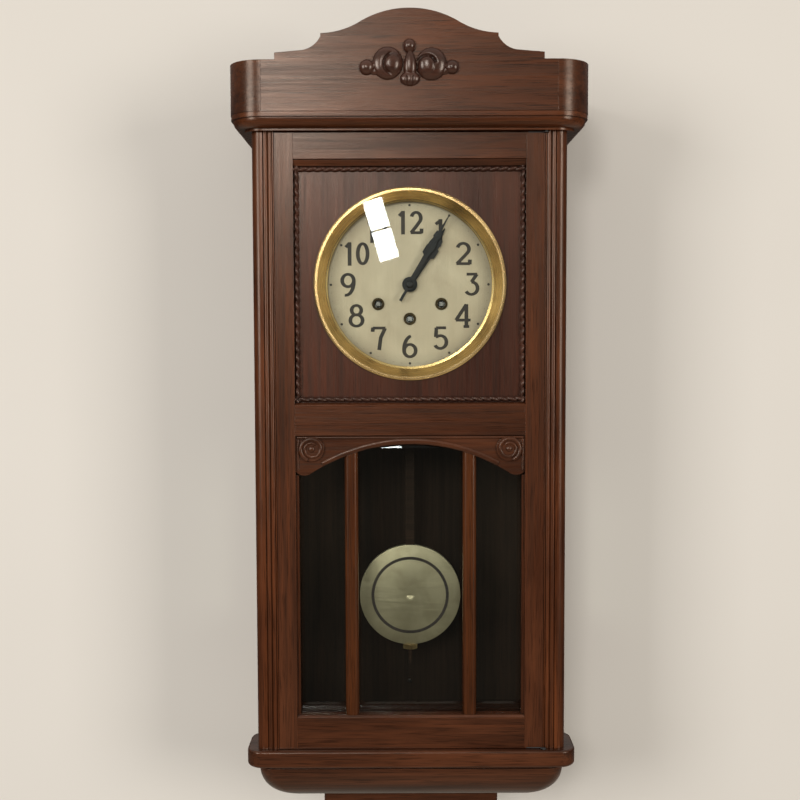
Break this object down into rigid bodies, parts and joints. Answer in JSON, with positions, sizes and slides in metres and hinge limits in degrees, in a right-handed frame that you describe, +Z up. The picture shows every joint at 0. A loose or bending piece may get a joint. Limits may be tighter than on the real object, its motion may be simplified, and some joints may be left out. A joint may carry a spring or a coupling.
{
  "type": "pendulum wall clock",
  "caption": "Wall clock in a dark oak case: shaped crest, hinged glazed door, round brass-rimmed dial and a swinging pendulum on a spring-driven movement.",
  "frame": {"origin": "centre of the hanging hole, on the back plane that lies against the wall", "axes": "+X to the right as the clock is seen, +Y into the wall, +Z up"},
  "size_m": [0.37, 0.198, 0.8478],
  "materials": {
    "oak": "dark reddish-brown stained oak, satin varnish",
    "oak_red": "redder stained oak, satin varnish",
    "oak_panel": "dark stained oak with upright grain",
    "oak_carved": "carved and glossy stained oak",
    "oak_back": "plain stained inner boards",
    "dark_wood": "dark varnished rod",
    "clear_glass": "clear polished, bevelled panes",
    "brass": "polished and lightly tarnished",
    "silvered": "silvered dial, matt, slightly yellowed, dark numerals",
    "silvered_bob": "spun silvery brass with a blackened ring",
    "blackened_steel": "blackened",
    "steel": "bright drawn steel",
    "iron": "black japanned"
  },
  "bodies": {
    "case": {"backboard": "oak_back", "side_panel_left": "oak", "side_panel_right": "oak", "side_glass_left": "clear_glass", "side_glass_right": "clear_glass", "front_post_left": "oak", "front_post_right": "oak", "top_board": "oak_back", "cornice_moulding": "oak_red", "gallery_board": "oak", "crest_panel": "oak", "crest_carving": "oak_carved", "base_moulding": "oak", "base_belly": "oak", "base_console": "oak", "hanger_plate": "steel", "hanger_screws": "steel", "movement_brackets": "iron", "movement_front_plate": "brass", "movement_back_plate": "brass", "plate_pillars": "brass", "dial_plate": "silvered", "winding_grommets": "brass", "gong_block": "iron", "gong_rods": "steel", "suspension_cock": "brass", "strike_chime_barrels": "brass"},
    "door": {"door_stile_left": "oak", "door_stile_right": "oak", "door_top_rail": "oak", "door_middle_rail": "oak", "door_bottom_rail": "oak", "dial_panel": "oak_panel", "rope_moulding": "oak_carved", "spandrel_board": "oak_carved", "muntins": "oak_red", "glass_left": "clear_glass", "glass_centre": "clear_glass", "glass_right": "clear_glass", "dial_bezel": "brass", "dial_glass": "clear_glass", "door_pivots": "brass"},
    "minute_arbor": {"centre_wheel": "brass", "minute_hand": "blackened_steel", "hand_nut": "blackened_steel"},
    "hour_pipe": {"hour_wheel": "brass", "hour_hand": "blackened_steel"},
    "minute_wheel": {"minute_wheel": "brass"},
    "third_wheel": {"third_wheel": "brass"},
    "escape_wheel": {"escape_wheel": "brass"},
    "time_barrel": {"time_barrel": "brass"},
    "anchor": {"anchor": "steel"},
    "strike_arbor": {"winding_arbor_strike": "steel"},
    "time_arbor": {"winding_arbor_time": "steel"},
    "chime_arbor": {"winding_arbor_chime": "steel"},
    "hammers": {"hammers": "brass"},
    "pendulum": {"suspension_spring": "steel", "pendulum_rod": "dark_wood"},
    "bob": {"pendulum_bob": "silvered_bob"},
    "rating_nut": {"rating_nut": "brass"}
  },
  "joints": [
    {"name": "door_hinge", "type": "hinge", "parent": "case", "child": "door", "pos_m": [0.14025, -0.1724, -0.28275], "axis": [0, 0, 1], "range_deg": [0, 125]},
    {"name": "minute_hand_turn", "type": "hinge", "parent": "case", "child": "minute_arbor", "pos_m": [0, -0.137, -0.115], "axis": [0, 1, 0], "continuous": true},
    {"name": "hour_hand_turn", "type": "hinge", "parent": "case", "child": "hour_pipe", "pos_m": [0, -0.141, -0.115], "axis": [0, 1, 0], "continuous": true},
    {"name": "minute_wheel_turn", "type": "hinge", "parent": "case", "child": "minute_wheel", "pos_m": [0.01414, -0.14, -0.10086], "axis": [0, 1, 0], "continuous": true},
    {"name": "third_wheel_turn", "type": "hinge", "parent": "case", "child": "third_wheel", "pos_m": [-0.0172, -0.115, -0.09826], "axis": [0, 1, 0], "continuous": true},
    {"name": "escape_wheel_turn", "type": "hinge", "parent": "case", "child": "escape_wheel", "pos_m": [0, -0.115, -0.081], "axis": [0, 1, 0], "continuous": true},
    {"name": "time_barrel_turn", "type": "hinge", "parent": "case", "child": "time_barrel", "pos_m": [0, -0.105, -0.151], "axis": [0, 1, 0], "continuous": true},
    {"name": "pendulum_swing", "type": "hinge", "parent": "case", "child": "pendulum", "pos_m": [0, -0.082, -0.061], "axis": [0, 1, 0], "range_deg": [-6, 6]},
    {"name": "anchor_rock", "type": "hinge", "parent": "case", "child": "anchor", "pos_m": [0, -0.115, -0.061], "axis": [0, 1, 0], "range_deg": [-6, 6]},
    {"name": "wind_strike", "type": "hinge", "parent": "case", "child": "strike_arbor", "pos_m": [-0.0333, -0.115, -0.1354], "axis": [0, 1, 0], "continuous": true},
    {"name": "wind_time", "type": "hinge", "parent": "case", "child": "time_arbor", "pos_m": [0, -0.115, -0.151], "axis": [0, 1, 0], "continuous": true},
    {"name": "wind_chime", "type": "hinge", "parent": "case", "child": "chime_arbor", "pos_m": [0.0333, -0.115, -0.1354], "axis": [0, 1, 0], "continuous": true},
    {"name": "hammer_lift", "type": "hinge", "parent": "case", "child": "hammers", "pos_m": [0, -0.062, -0.071], "axis": [1, 0, 0], "range_deg": [0, 15]},
    {"name": "bob_height", "type": "slide", "parent": "pendulum", "child": "bob", "axis": [0, 0, 1], "range_m": [-0.005, 0.005]},
    {"name": "rating_nut_turn", "type": "hinge", "parent": "bob", "child": "rating_nut", "pos_m": [0, -0.082, -0.519], "axis": [0, 0, 1], "continuous": true}
  ],
  "couplings": [
    {"joint": "hour_hand_turn", "follows": "minute_hand_turn", "ratio": 0.083333},
    {"joint": "minute_wheel_turn", "follows": "minute_hand_turn", "ratio": -0.33333},
    {"joint": "third_wheel_turn", "follows": "minute_hand_turn", "ratio": -6},
    {"joint": "escape_wheel_turn", "follows": "minute_hand_turn", "ratio": 33.6},
    {"joint": "time_barrel_turn", "follows": "minute_hand_turn", "ratio": -0.083333},
    {"joint": "anchor_rock", "follows": "pendulum_swing", "ratio": 1}
  ]
}
